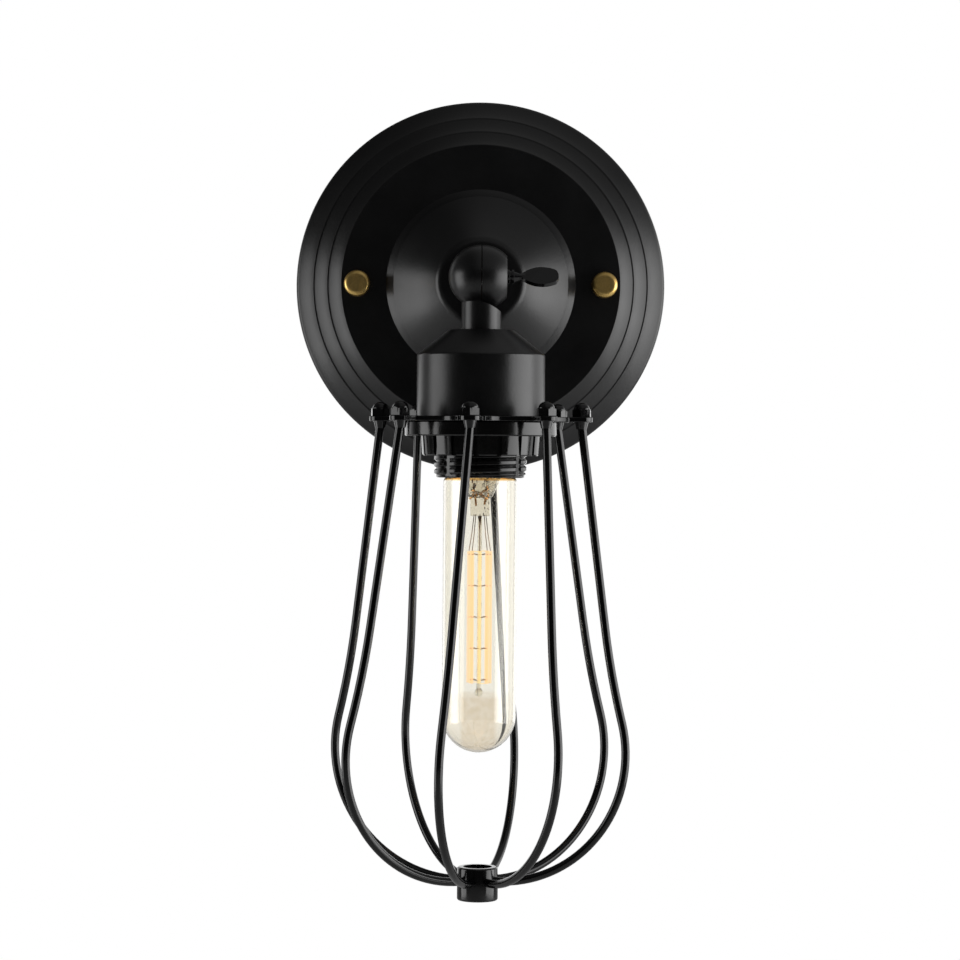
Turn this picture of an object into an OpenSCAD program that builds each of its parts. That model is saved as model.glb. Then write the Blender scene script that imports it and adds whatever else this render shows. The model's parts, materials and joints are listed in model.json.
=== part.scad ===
// Cage wall light: a round pressed wall plate, a half-ball knuckle on a short arm,
// and a lamp head whose eight-wire cage hangs round a tubular bulb.
//
// The origin is the centre of the wall plate, on the wall. +X is to the right as the
// light is seen from the room, +Y points into the wall and +Z is up, so everything
// that stands off the wall has negative Y. All lengths are in millimetres.

/* [Wall plate] */
// Diameter of the wall plate
plate_d = 160; // [152:1:180]
// Thickness of the plate's sheet
plate_t = 1.2; // [0.8:0.1:2]
// Height of the plate's outer skirt above the wall
skirt_h = 4; // [3:0.1:6]
// Radius of the rounded outer edge
rim_round = 2.5; // [1.5:0.1:3]
// Width of each of the three hollow steps, seen from the front
step_w = 6.25; // [5.5:0.05:7]
// Slope at the foot of each step, in degrees
step_foot_deg = 27; // [20:1:32]
// Slope at the top of each step, in degrees
step_top_deg = 47; // [38:1:52]

/* [Central bell of the plate] */
// Diameter of the bell's foot
bell_d = 81.2; // [76:0.2:86]
// Width of the small step round the bell's foot
bell_step_w = 3.2; // [2.4:0.1:4]
// Slope of the bell's hollow side at its foot, in degrees
bell_foot_deg = 36; // [30:1:40]
// Slope of the bell's side at its top, in degrees
bell_top_deg = 53; // [44:1:56]
// Diameter of the boss that the arm stands on, at its edge
boss_d = 38; // [34:0.2:42]
// Radius of the boss's rounded edge
boss_round = 4; // [2:0.1:5]

/* [Wall bracket] */
// Distance between the two brass nuts
nut_pitch = 106; // [98:1:110]
// Width of the steel strip
strip_w = 20; // [16:1:26]
// Thickness of the strip
strip_t = 1.5; // [1.2:0.1:2.5]
// How far each raised end of the strip stands off the wall
joggle_h = 3.4; // [3:0.1:4]
// Length of each raised end, outward from its stud
strip_end = 6; // [5:0.5:7]
// Distance between the two slots for the wall screws
slot_pitch = 72; // [68:1:74]
// Length of each slot from end to end
slot_l = 14; // [8:0.5:15]
// Width of each slot
slot_w = 5.2; // [4:0.1:6]
// Diameter of the hole where the supply cable comes in
entry_d = 10; // [8:0.5:14]

/* [Brass nuts and studs] */
// Diameter of a round brass nut
cap_nut_d = 11.2; // [9:0.1:14]
// Height of a round brass nut
cap_nut_h = 6; // [5:0.1:9]
// Radius of the nut's rounded edge
cap_nut_round = 2; // [0.5:0.1:2.5]
// Thread diameter of the two studs
stud_d = 4; // [3:0.5:5]
// Diameter of a stud's head, behind the bracket
stud_head_d = 7; // [6:0.2:8]
// Height of a stud's head
stud_head_h = 2.4; // [1.6:0.1:2.8]

/* [Connections behind the plate] */
// Number of terminals in the connector block
terminals = 3; // [2:1:3]
// Distance between two terminals
terminal_pitch = 8; // [8:0.1:9]
// Width of the connector block across its terminals
block_w = 13; // [11:0.5:15]
// Height of the connector block off the bracket
block_h = 8; // [6:0.2:8.2]
// Outer diameter of a terminal tube
tube_d = 4; // [3.6:0.1:4]
// Diameter of the screws that hold the block on the bracket
block_screw_d = 2.2; // [1.8:0.1:2.4]
// Diameter of the earth screw's head
earth_head_d = 7; // [6:0.5:8]

/* [Arm and knuckle] */
// Distance from the wall to the lamp's axis
reach = 73; // [70:1:90]
// Diameter of the split ball
ball_d = 26; // [24:0.2:28]
// How far the ball's centre lies to the left of the slit
ball_shift = 0.6; // [0:0.1:1]
// Gap between the two halves of the ball
slit = 0.4; // [0.4:0.1:0.8]
// Distance from the slit to the flat on the screw's side
flat_x = 10.4; // [8.5:0.1:11]
// Diameter of the necks below and behind the ball
neck_d = 16.2; // [14.5:0.1:17]
// Length of the lower neck, from the ball's centre to the cover
neck_l = 22; // [20:0.5:26]
// Height of the ball's inner wire chamber, on each side of the slit
chamber_x = 5; // [3:0.5:6]
// Diameter of the wire chamber
chamber_d = 16; // [13:0.5:18]
// Diameter of the nipples that hold the arm and the cover
nipple_d = 10; // [9:0.5:11]
// Bore of the nipples, where the wires pass
nipple_bore = 6.4; // [5:0.2:7]
// Width across the flats of the nipples' locknuts
locknut_af = 14; // [13:0.5:15]
// Thickness of the locknuts
locknut_h = 3.6; // [3:0.2:4]

/* [Clamp screw] */
// Thread diameter of the clamp screw
clamp_d = 4; // [3:0.5:5]
// Diameter of the flat washer and of the screw's collar
clamp_washer_d = 6; // [5.6:0.1:9]
// Thickness of the flat washer
clamp_washer_t = 1; // [0.6:0.1:1.4]
// Diameter of the spring washer between the flat washer and the collar
spring_washer_d = 4.9; // [4.6:0.1:5.6]
// Length of the screw's oval grip
paddle_l = 16; // [12:0.5:20]
// Height of the oval grip
paddle_h = 8.8; // [6:0.2:10]
// Thickness of the oval grip
paddle_t = 2.2; // [1.6:0.1:3]
// Angle at which the grip is tipped back, in degrees
paddle_tip = 35; // [0:1:60]

/* [Socket cover] */
// Outer diameter of the cover
cover_d = 52.6; // [48:0.2:58]
// Overall height of the cover
cover_h = 35.5; // [34:0.5:44]
// Thickness of the cover's sheet
cover_t = 1.2; // [0.8:0.1:2]
// Height of the cover's sloped shoulder
shoulder_h = 10; // [8:0.2:12]
// Diameter of the flat top that the neck stands on
cover_top_d = 27; // [22:0.5:30]
// Bulge of the shoulder beyond a straight line
shoulder_crown = 1.3; // [0.2:0.1:1.6]
// Radius of the rounded edge where the side begins
cover_round = 1.8; // [1.4:0.1:3]

/* [Lampholder] */
// Outer diameter of the lampholder's thread
holder_d = 38; // [37:0.1:40]
// How far the lampholder stands out below the cover
holder_drop = 25; // [23:0.5:30]
// Wall of the lampholder round its mouth
holder_wall = 2.4; // [1.8:0.1:2.6]
// Inner diameter of the brass screw shell
shell_d = 27.2; // [27:0.1:28]
// Wall of the brass screw shell
shell_t = 0.6; // [0.4:0.1:0.8]

/* [Shade ring] */
// Diameter of the flange that clamps the cage
flange_d = 62.5; // [60:0.5:66]
// Thickness of the flange
flange_h = 6; // [4:0.2:7]
// Diameter of the grip collar below the flange
collar_d = 49; // [46:0.5:52]
// Height of the grip collar
collar_h = 8; // [6:0.2:10]
// Number of grooves round the collar
collar_grooves = 16; // [10:1:20]
// Width of each groove
collar_groove_w = 2; // [1:0.1:3]
// Depth of each groove
collar_groove_h = 1.2; // [0.6:0.1:1.6]

/* [Cage] */
// Thickness of the ring that carries the ribs
ring_t = 2; // [1.2:0.1:2.5]
// Radius of the circle of rib holes
lug_r = 41.5; // [40:0.5:46]
// Radius of each lug's rounded end
lug_round = 4.5; // [4.2:0.1:5]
// How far outside the circle of holes each hollow between two lugs has its centre
scallop_out = 4.2; // [2:0.1:6]
// Number of ribs, each with its own lug
rib_n = 8; // [8:1:8]
// Diameter of the ribs' steel wire
wire_d = 3.5; // [3:0.1:4]
// Largest radius of the cage, to the wire's centre
bulge_r = 61.6; // [58:0.2:64]
// Radius of the wire's lower bend
bulge_bend_r = 53; // [48:0.2:54]
// Lean of the wire where the lower bend starts, in degrees
flare_deg = 14.7; // [13:0.1:17]
// Radius of the gentle bend above it
flare_bend_r = 335; // [250:5:400]
// Sideways lean of each rib, in degrees
rib_lean = 2.35; // [0:0.05:4]
// Turn of the whole cage about the lamp's axis, in degrees
cage_turn = -6.2; // [-20:0.1:20]
// Distance from the cage ring down to the middle of the ribs' lower ends
cage_drop = 190.5; // [180:0.5:200]
// Diameter of the hub that the ribs meet
hub_d = 16.8; // [15:0.2:20]
// Bore of the hub
hub_bore = 11.8; // [8:0.2:13]
// Height of the hub
hub_h = 13.7; // [10:0.1:18]
// How far the hub rises above the middle of the ribs' lower ends
hub_rise = 5.7; // [4:0.1:8]

/* [Acorn nuts] */
// Width of a nut across its flats
acorn_af = 7.2; // [6.6:0.1:7.2]
// Height of the nut's six-sided part
acorn_hex_h = 3.2; // [2:0.1:4]
// Height of the nut's dome
acorn_dome_h = 2.7; // [2.4:0.1:3]

/* [Bulb] */
// Diameter of the glass tube
bulb_d = 30.4; // [28:0.2:31]
// Distance from the lampholder's mouth to the tip of the bulb
bulb_drop = 112.8; // [90:0.2:125]
// Thickness of the glass
glass_t = 0.9; // [0.6:0.1:1.2]
// Diameter of the bulb's screw cap
cap_d = 26.4; // [26:0.1:26.4]
// Length of the bulb's screw cap
cap_l = 24; // [22:0.5:26]
// Number of upright filament strands
strands = 8; // [4:2:12]
// Radius of the circle that the strands stand on
strand_circle_r = 5; // [3.5:0.1:7]
// Length of the upright strands
strand_l = 54; // [35:1:60]
// Diameter of the filament wire
strand_d = 0.5; // [0.4:0.1:0.8]

/* [Hidden] */
$fn = 64;

// Clearances
fit = 0.05;        // radial gap between a thread and its hole
slide_gap = 0.2;   // radial gap round a loose bolt or tube
turn_gap = 0.3;    // gap between curved surfaces that turn past each other
face_gap = 0.1;    // gap between flat faces that turn on each other
eps = 0.01;        // overlap that makes a cut run clean through

// Wall plate, worked out from its sheet and steps
plate_r = plate_d / 2;
steps = 3;
steps_r = plate_r - rim_round * (1 - sin(step_foot_deg));
steps_h = skirt_h - rim_round * (1 - cos(step_foot_deg));
step_h = hollow_rise(step_w, step_foot_deg, step_top_deg);
face_r = steps_r - steps * step_w;
face_h = steps_h + steps * step_h;
bell_r = bell_d / 2;
bell_step_deg = [bell_foot_deg + 2, bell_foot_deg + 12];     // slopes of the small step
side_r = bell_r - bell_step_w;
side_h = face_h + hollow_rise(bell_step_w, bell_step_deg[0], bell_step_deg[1]);
boss_r = boss_d / 2;
boss_edge_h = side_h + hollow_rise(side_r - boss_r, bell_foot_deg, bell_top_deg);
boss_roll = 47;              // slope at which the boss's rounded edge begins
bell_top_h = boss_edge_h + boss_round * (1 - cos(boss_roll));

// Bracket and connector block
earth_x = slot_pitch / 2 - slot_l / 2 - earth_head_d / 2 - 2;
block_x = entry_d / 2 + 3.4 + block_w / 2;
block_l = terminals * terminal_pitch + 1.2;
tube_h = 3.4;                // height of the terminal tubes' centres above the strip
block_base_h = 4;
terminal_screw_r = 1.4;
block_screw_head_r = terminal_pitch / 2 - tube_d / 2 - 0.2;
block_screw_zs = [for (i = [1:terminals - 1]) (i - terminals / 2) * terminal_pitch];

// Ball and screw
ball_r = ball_d / 2;
neck_r = neck_d / 2;
turn_r = ball_r + turn_gap;  // room for the other half of the ball, at the slit
turn_slope = 0.15;           // and how fast that room opens outward
post_r = 4;                  // post inside each half that carries the screw
clamp_r = clamp_d / 2;
screw_depth = 7.5;           // thread engaged in the lamp's half of the ball
spring_t = 0.8;
spring_x = flat_x + face_gap + clamp_washer_t;
collar_x = spring_x + spring_t + face_gap;
collar_t = 0.9;
stalk_l = 2.5;
paddle_x = collar_x + collar_t + stalk_l;

// Nipples and their nuts
nipple_r = nipple_d / 2;
nipple_grip = neck_l - turn_r - turn_slope * (nipple_r + 1) - 1;   // thread inside each neck
washer_t = 1.2;
washer_r = 9;

// Heights on the lamp's axis, downward from the ball's centre
cover_top_z = -neck_l;
ring_top_z = cover_top_z - cover_h;
ring_low_z = ring_top_z - ring_t;
flange_low_z = ring_low_z - flange_h;
collar_low_z = flange_low_z - collar_h;
mouth_z = ring_top_z - holder_drop;
join_z = ring_low_z - cage_drop + ring_t;
tip_z = mouth_z - bulb_drop;

// Lampholder
holder_r = holder_d / 2;
mouth_r = holder_r - holder_wall;
shell_r = shell_d / 2;
shell_out_r = shell_r + shell_t;
seat_w = 1.1;                            // ledge that the contact block sits on
cap_z = mouth_z + 2.5;                   // lower rim of the bulb's screw cap
contact_z = cap_z + cap_l + 2.6;         // tip of the bulb's centre contact
seat_z = contact_z + 1.6;
block_disc_t = 4;
block_tower_t = 3;
join_gap_z = seat_z + block_disc_t + 2;  // where the lampholder's cap meets its body
holder_cap_h = 11;
holder_top_z = join_gap_z + holder_cap_h;

// Cage ribs: each is a straight leg, a gentle flare and a lower bend, in one plane
wire_r = wire_d / 2;
lug_ang = 360 / rib_n;
shoulder_l = 2.9;                        // length of the cone under each lug
shoulder_r = 2.8;
thread_r = wire_r + 0.2;
bend_z = ring_low_z - shoulder_l * 0.55; // the leg meets its upright end inside the cone
rise = bend_z - join_z;
leg_v = rise * tan(rib_lean);
leg_turn = asin(leg_v / lug_r);
leg_u = lug_r * cos(leg_turn);
leg_s = rise / cos(rib_lean);
bend_u = bulge_r - bulge_bend_r;
flare_c = [bend_u + (bulge_bend_r + flare_bend_r) * cos(flare_deg),
           bulge_bend_r + (bulge_bend_r + flare_bend_r) * sin(flare_deg)];
leg_to_flare = flare_c - [leg_u, leg_s];
leg_deg = atan2(leg_to_flare[1], leg_to_flare[0]) + acos(flare_bend_r / norm(leg_to_flare));
tip_deg = asin((bend_u - hub_d / 2 + 0.8) / bulge_bend_r);   // runs on into the hub's wall
leg_end = flare_c - flare_bend_r * [cos(leg_deg), sin(leg_deg)];

// Bulb
bulb_r = bulb_d / 2;
cap_r = cap_d / 2;
neck_glass_r = cap_r - 0.9;
glass_shoulder = 3.6;
cap_t = 0.5;
stem_r = 5;
press_z = mouth_z - 8;                   // lower end of the flared foot
press_end_z = press_z - 7.7;             // lower end of the flat press
filament_top_z = press_end_z - 14.5;
filament_low_z = filament_top_z - strand_l;
rod_r = 0.9;
support_r = 0.3;

// Colours
black_satin = [0.06, 0.06, 0.065];
black_gloss = [0.03, 0.03, 0.035];
steel = [0.62, 0.63, 0.65];
brass = [0.78, 0.6, 0.28];
glass = [0.95, 0.9, 0.78, 0.35];
bakelite = [0.09, 0.09, 0.09];

// ---- Shared shapes -------------------------------------------------------------

// Turns a profile of [radius, height off the wall] round the plate's axis
module off_wall() { rotate([90, 0, 0]) rotate_extrude() children(); }

// Puts its children on the lamp's axis, with the ball's centre at z = 0
module on_lamp() { translate([0, -reach, 0]) children(); }

// Lays a solid that stands on z = 0 along +X, through the ball's centre
module on_clamp() { on_lamp() rotate([0, 90, 0]) children(); }

module tube(h, r_out, r_in) {
    difference() {
        cylinder(h = h, r = r_out);
        translate([0, 0, -1]) cylinder(h = h + 2, r = r_in);
    }
}

module hex_nut(h, across_flats, bore_r) {
    difference() {
        cylinder(h = h, d = across_flats / cos(30), $fn = 6);
        translate([0, 0, -1]) cylinder(h = h + 2, r = bore_r);
    }
}

// Points on a shallow arc from a to b, running inward, that stands proud of the line by crown
function crowned(a, b, crown, n = 8) =
    let (d = b - a, side = [d[1], -d[0]] / norm(d))
    [for (i = [0:n]) let (t = i / n) a + t * d + 4 * crown * t * (1 - t) * side];

// Points on a round corner about c, from angle a0 to a1
function corner(c, r, a0, a1, n = 5) =
    [for (i = [0:n]) let (a = a0 + (a1 - a0) * i / n) c + r * [cos(a), sin(a)]];

// A hollow curve in sheet, like a cove: its slope grows from low to high as it rises inward
// over a width w. These are its height, and its points from [r, h] up to just before its top.
function hollow_rise(w, low, high) = w * (cos(low) - cos(high)) / (sin(high) - sin(low));

function hollow(r, h, w, low, high, n = 8) =
    let (arc_r = w / (sin(high) - sin(low)))
    [for (i = [0:n - 1]) let (a = low + (high - low) * i / n)
        [r - arc_r * (sin(a) - sin(low)), h + arc_r * (cos(low) - cos(a))]];

function reversed(list) = [for (i = [len(list) - 1:-1:0]) list[i]];

// ---- Wall bracket and its fasteners ---------------------------------------------

module slot_cut(at_x) {
    half = (slot_l - slot_w) / 2;
    translate([at_x, 1, 0]) rotate([90, 0, 0]) linear_extrude(strip_t + 2) {
        for (s = [-1, 1]) translate([s * half, 0]) circle(d = slot_w);
        square([2 * half, slot_w], center = true);
    }
}

// Round hole through the bracket, at x and z
module strip_hole(x, z, r) {
    translate([x, 1, z]) rotate([90, 0, 0]) cylinder(h = joggle_h + strip_t + 2, r = r);
}

module wall_bracket() {
    stud_x = nut_pitch / 2;
    end_x = stud_x + strip_end;
    raised_x = stud_x - stud_head_d / 2 - 0.7;
    flat_x_end = raised_x - joggle_h;
    set_back = strip_t * tan(22.5);      // keeps the strip's thickness in its 45 degree bends
    half = [[flat_x_end, 0], [raised_x, joggle_h], [end_x, joggle_h], [end_x, joggle_h + strip_t],
            [raised_x - set_back, joggle_h + strip_t], [flat_x_end - set_back, strip_t]];
    outline = concat(half, reversed([for (p = half) [-p[0], p[1]]]));
    color(steel) difference() {
        translate([0, 0, -strip_w / 2]) linear_extrude(strip_w)
            polygon([for (p = outline) [p[0], -p[1]]]);
        for (s = [-1, 1]) {
            slot_cut(s * slot_pitch / 2);
            strip_hole(s * stud_x, 0, stud_d / 2 + fit);
        }
        strip_hole(0, 0, entry_d / 2);
        strip_hole(-earth_x, 0, stud_d / 2 + fit);
        for (z = block_screw_zs) strip_hole(block_x, z, block_screw_d / 2 + fit);
    }
}

module bracket_studs() {
    color(steel) for (s = [-1, 1]) translate([s * nut_pitch / 2, -joggle_h, 0]) rotate([90, 0, 0]) {
        cylinder(h = face_h - joggle_h + cap_nut_h - 2.2, d = stud_d);
        translate([0, 0, -stud_head_h]) cylinder(h = stud_head_h, d = stud_head_d);
    }
}

// Earth terminal: a slotted screw on a cup washer, screwed into the strip
module earth_screw() {
    head_h = 2.4;
    cup_t = 0.9;
    head_top = strip_t + cup_t + head_h;
    color(brass) translate([-earth_x, 0, 0]) rotate([90, 0, 0]) difference() {
        union() {
            translate([0, 0, 0.2]) cylinder(h = head_top - 0.2, d = stud_d);
            translate([0, 0, strip_t]) cylinder(h = cup_t, d = earth_head_d + 1.4);
            translate([0, 0, strip_t + cup_t]) cylinder(h = head_h, d = earth_head_d);
        }
        translate([-earth_head_d, -0.5, head_top - 1.2]) cube([2 * earth_head_d, 1, 2]);
    }
}

// The connector block lies on the bracket, with its terminals in a row up the strip
module at_terminals() {
    for (i = [0:terminals - 1])
        translate([block_x, -strip_t - tube_h, (i - (terminals - 1) / 2) * terminal_pitch]) children();
}

module terminal_block() {
    sleeve_r = tube_d / 2 + 0.9;
    tower_r = tube_d / 2 + 0.6;
    color([0.93, 0.93, 0.9]) difference() {
        union() {
            translate([block_x - block_w / 2, -strip_t - block_base_h, -block_l / 2])
                cube([block_w, block_base_h, block_l]);
            at_terminals() rotate([0, 90, 0]) translate([0, 0, -block_w / 2]) cylinder(h = block_w, r = sleeve_r);
            for (s = [-1, 1]) at_terminals() translate([s * block_w / 4, 0, 0]) rotate([90, 0, 0])
                cylinder(h = block_h - tube_h, r = tower_r);
        }
        at_terminals() rotate([0, 90, 0])
            translate([0, 0, -block_w / 2 - 1]) cylinder(h = block_w + 2, r = tube_d / 2 + fit);
        for (s = [-1, 1]) at_terminals() translate([s * block_w / 4, 0, 0]) rotate([90, 0, 0])
            cylinder(h = block_h, r = terminal_screw_r + fit);
        for (z = block_screw_zs) translate([block_x, 1, z]) rotate([90, 0, 0]) {
            cylinder(h = block_h + strip_t + 2, r = block_screw_d / 2 + slide_gap);
            translate([0, 0, 1 + strip_t + block_base_h]) cylinder(h = block_h, r = block_screw_head_r + 0.1);
        }
    }
}

module terminal_tubes() {
    inset = 0.8;
    color(brass) at_terminals() rotate([0, 90, 0]) translate([0, 0, -block_w / 2 + inset]) difference() {
        cylinder(h = block_w - 2 * inset, d = tube_d);
        translate([0, 0, -1]) cylinder(h = block_w, d = tube_d - 1.4);
    }
}

module terminal_screws() {
    screw_l = 1.8;
    color(steel) for (s = [-1, 1]) at_terminals() translate([s * block_w / 4, 0, 0]) rotate([90, 0, 0])
        difference() {
            translate([0, 0, tube_d / 2 + fit]) cylinder(h = screw_l, r = terminal_screw_r);
            translate([-tube_d, -0.3, tube_d / 2 + screw_l - 0.7]) cube([2 * tube_d, 0.6, 2]);
        }
}

module block_screws() {
    head_h = 1.5;
    foot = 0.2;
    color(steel) for (z = block_screw_zs) translate([block_x, 0, z]) rotate([90, 0, 0]) difference() {
        union() {
            translate([0, 0, foot]) cylinder(h = strip_t + block_base_h - foot + head_h, d = block_screw_d);
            translate([0, 0, strip_t + block_base_h]) cylinder(h = head_h, r = block_screw_head_r);
        }
        translate([-3, -0.3, strip_t + block_base_h + head_h - 0.6]) cube([6, 0.6, 2]);
    }
}

// ---- Wall plate ------------------------------------------------------------------

// Outer surface, from the skirt's rounded edge in to the boss
function plate_front() = concat(
    corner([plate_r - rim_round, skirt_h - rim_round], rim_round, 0, 85 - step_foot_deg, 5),
    [for (i = [0:steps - 1])
        each hollow(steps_r - i * step_w, steps_h + i * step_h, step_w, step_foot_deg, step_top_deg, 6)],
    [[face_r, face_h]],
    hollow(bell_r, face_h, bell_step_w, bell_step_deg[0], bell_step_deg[1], 3),
    hollow(side_r, side_h, side_r - boss_r, bell_foot_deg, bell_top_deg, 12),
    corner([boss_r - boss_round * sin(boss_roll), bell_top_h - boss_round], boss_round, 90 - boss_roll, 90, 6));

module wall_plate() {
    front = plate_front();
    // The inner surface is the outer one, set back by the sheet's thickness
    back = [for (p = front) [min(p[0], plate_r - plate_t), p[1] - plate_t]];
    hole_r = nipple_r + slide_gap;
    color(black_satin) difference() {
        off_wall() polygon(concat(
            [[plate_r, 0]], front, [[hole_r, bell_top_h], [hole_r, bell_top_h - plate_t]],
            reversed(back), [[plate_r - plate_t, 0]]));
        for (s = [-1, 1]) translate([s * nut_pitch / 2, -face_h - 1, 0]) rotate([-90, 0, 0])
            cylinder(h = plate_t + 2, r = stud_d / 2 + slide_gap);
    }
}

module cap_nuts() {
    nut_r = cap_nut_d / 2;
    flat_r = nut_r - cap_nut_round;
    thread_depth = cap_nut_h - 1.6;
    color(brass) for (s = [-1, 1]) translate([s * nut_pitch / 2, -face_h, 0]) rotate([90, 0, 0])
        difference() {
            rotate_extrude() {
                square([nut_r, cap_nut_h - cap_nut_round]);
                square([flat_r, cap_nut_h]);
                translate([flat_r, cap_nut_h - cap_nut_round]) intersection() {
                    circle(r = cap_nut_round);
                    square(cap_nut_round);
                }
            }
            translate([0, 0, -1]) cylinder(h = thread_depth + 1, r = stud_d / 2 + fit);
        }
}

// ---- Arm -------------------------------------------------------------------------

arm_back_y = -bell_top_h + plate_t;      // back of the sheet under the arm

module wall_nipple() {
    inner_end = arm_back_y + washer_t + locknut_h + 2;
    color(steel) translate([0, inner_end, 0]) rotate([90, 0, 0])
        tube(inner_end + bell_top_h + nipple_grip, nipple_r, nipple_bore / 2);
}

module arm_washer() {
    color(steel) translate([0, arm_back_y + washer_t, 0]) rotate([90, 0, 0])
        tube(washer_t, washer_r, nipple_r + slide_gap);
}

module arm_locknut() {
    color(steel) translate([0, arm_back_y + washer_t + locknut_h, 0]) rotate([90, 0, 0])
        hex_nut(locknut_h, locknut_af, nipple_r + fit);
}

// ---- Knuckle -----------------------------------------------------------------------

// Left half of the ball, with its neck running down. depth is how far the half reaches
// from the slit before it is cut flat, and length is the neck's, from the ball's centre.
module half_ball(depth, length, screw_r, bore_depth) {
    face = -slit / 2;
    difference() {
        union() {
            intersection() {
                translate([-ball_shift, 0, 0]) sphere(r = ball_r);
                translate([-depth, -ball_r, -ball_r]) cube([depth + face, 2 * ball_r, 2 * ball_r]);
            }
            translate([0, 0, -length]) cylinder(h = length - chamber_d / 2, r = neck_r);
        }
        // Room for the other half to turn, opening outward like a cone
        translate([face, 0, 0]) rotate([0, 90, 0])
            cylinder(h = neck_r + 1, r1 = turn_r, r2 = turn_r + turn_slope * (neck_r + 1));
        // Ring-shaped chamber that takes the wires round the screw's post
        translate([face - chamber_x, 0, 0]) rotate([0, 90, 0]) tube(chamber_x + 1, chamber_d / 2, post_r);
        translate([face + 1, 0, 0]) rotate([0, -90, 0]) cylinder(h = bore_depth + 1, r = screw_r);
        // Wire way up to the chamber, and the bore for the nipple
        translate([0, 0, -length - 1]) cylinder(h = length + 1 - post_r - 1, r = nipple_bore / 2);
        translate([0, 0, -length - 1]) cylinder(h = nipple_grip + 1, r = nipple_r + fit);
    }
}

// The right half is the same shape turned round, with its ball set to the left of the slit
module arm_knuckle() {
    color(black_satin) on_lamp() rotate([90, 0, 0]) rotate([0, 0, 180])
        half_ball(flat_x, reach - bell_top_h, clamp_r + slide_gap, flat_x + 1);
}

module lamp_knuckle() {
    color(black_satin) on_lamp()
        half_ball(ball_r + ball_shift + 1, neck_l, clamp_r + fit, screw_depth);
}

// Fibre washer between the halves, outside the wire chamber
module friction_washer() {
    color([0.5, 0.28, 0.16]) on_lamp() translate([-slit / 2, 0, 0]) rotate([0, 90, 0])
        tube(slit - face_gap, ball_r - 2, chamber_d / 2 + 0.6);
}

module clamp_washers() {
    color(black_gloss) on_clamp() {
        translate([0, 0, flat_x + face_gap]) tube(clamp_washer_t, clamp_washer_d / 2, clamp_r + fit);
        translate([0, 0, spring_x]) tube(spring_t, spring_washer_d / 2, clamp_r + fit);
    }
}

// Leaf shape of two equal arcs, pointed towards the screw and rounded at the free end
module paddle_outline() {
    leaf_l = paddle_l * 1.15;
    arc_r = (pow(leaf_l / 2, 2) + pow(paddle_h / 2, 2)) / paddle_h;
    intersection_for(s = [-1, 1])
        translate([leaf_l / 2, s * (arc_r - paddle_h / 2)]) circle(r = arc_r);
}

module thumb_screw() {
    tip_x = -slit / 2 - screw_depth + 0.6;
    end_r = paddle_l * 0.29;         // roundness of the grip's free end
    embed = 2;                       // how far the stalk runs into the grip
    color(black_gloss) {
        on_clamp() {
            translate([0, 0, tip_x]) cylinder(h = collar_x - tip_x, r = clamp_r);
            translate([0, 0, collar_x]) cylinder(h = collar_t, d = clamp_washer_d);
            translate([0, 0, collar_x + collar_t]) cylinder(h = stalk_l, r1 = 2.3, r2 = 1.3);
            translate([0, 0, paddle_x]) cylinder(h = embed, r = 1.3);
        }
        on_lamp() rotate([-paddle_tip, 0, 0]) translate([paddle_x - 0.2, paddle_t / 2, 0]) rotate([90, 0, 0])
            linear_extrude(paddle_t) intersection() {
                paddle_outline();
                translate([paddle_l - end_r, 0]) {
                    circle(r = end_r);
                    translate([-paddle_l, -paddle_h]) square([paddle_l, 2 * paddle_h]);
                }
            }
    }
}

// ---- Socket cover and what hangs it -------------------------------------------------

module lamp_nipple() {
    low_z = holder_top_z - 0.45 * holder_cap_h;
    color(steel) on_lamp() translate([0, 0, low_z])
        tube(cover_top_z + nipple_grip - low_z, nipple_r, nipple_bore / 2);
}

module cover_locknut() {
    color(steel) on_lamp() translate([0, 0, cover_top_z - cover_t - locknut_h])
        hex_nut(locknut_h, locknut_af, nipple_r + fit);
}

// Points down the side of the cover, set in from its outer surface by inset
function cover_side(inset) =
    let (edge_c = [cover_d / 2 - cover_round, cover_top_z - shoulder_h - cover_round])
    concat(
        corner(edge_c, cover_round - inset, 0, 80),
        crowned(edge_c + (cover_round - inset * 0.9) * [-0.05, 1],
                [cover_top_d / 2 - inset * 0.4, cover_top_z - inset], shoulder_crown));

module socket_cover() {
    hole_r = nipple_r + slide_gap;
    inner_r = cover_d / 2 - cover_t;
    color(black_satin) on_lamp() rotate_extrude() polygon(concat(
        [[cover_d / 2, ring_top_z]], cover_side(0), [[hole_r, cover_top_z], [hole_r, cover_top_z - cover_t]],
        reversed(cover_side(cover_t)), [[inner_r, ring_top_z]]));
}

// ---- Lampholder -----------------------------------------------------------------------

// Domed cap that grips the nipple and holds the contact block down on its ledge
module lampholder_cap() {
    wall = 1.8;
    rim_r = holder_r - 0.8;
    boss_r_out = nipple_r + 3;
    edge_z = holder_top_z - 0.4 * holder_cap_h;
    side_z = holder_top_z - 0.64 * holder_cap_h;
    grip_z = holder_top_z - 0.6 * holder_cap_h;
    spigot_r = shell_out_r + fit + seat_w - slide_gap;
    color(bakelite) on_lamp() rotate_extrude() polygon([
        [nipple_r + fit, holder_top_z], [boss_r_out, holder_top_z], [rim_r - 5, (holder_top_z + edge_z) / 2],
        [rim_r - 1.4, edge_z], [rim_r, side_z], [rim_r, join_gap_z],
        [spigot_r, join_gap_z], [spigot_r, seat_z + block_disc_t], [spigot_r - wall, seat_z + block_disc_t],
        [spigot_r - wall, side_z], [boss_r_out, edge_z], [boss_r_out, grip_z], [nipple_r + fit, grip_z]]);
}

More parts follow.
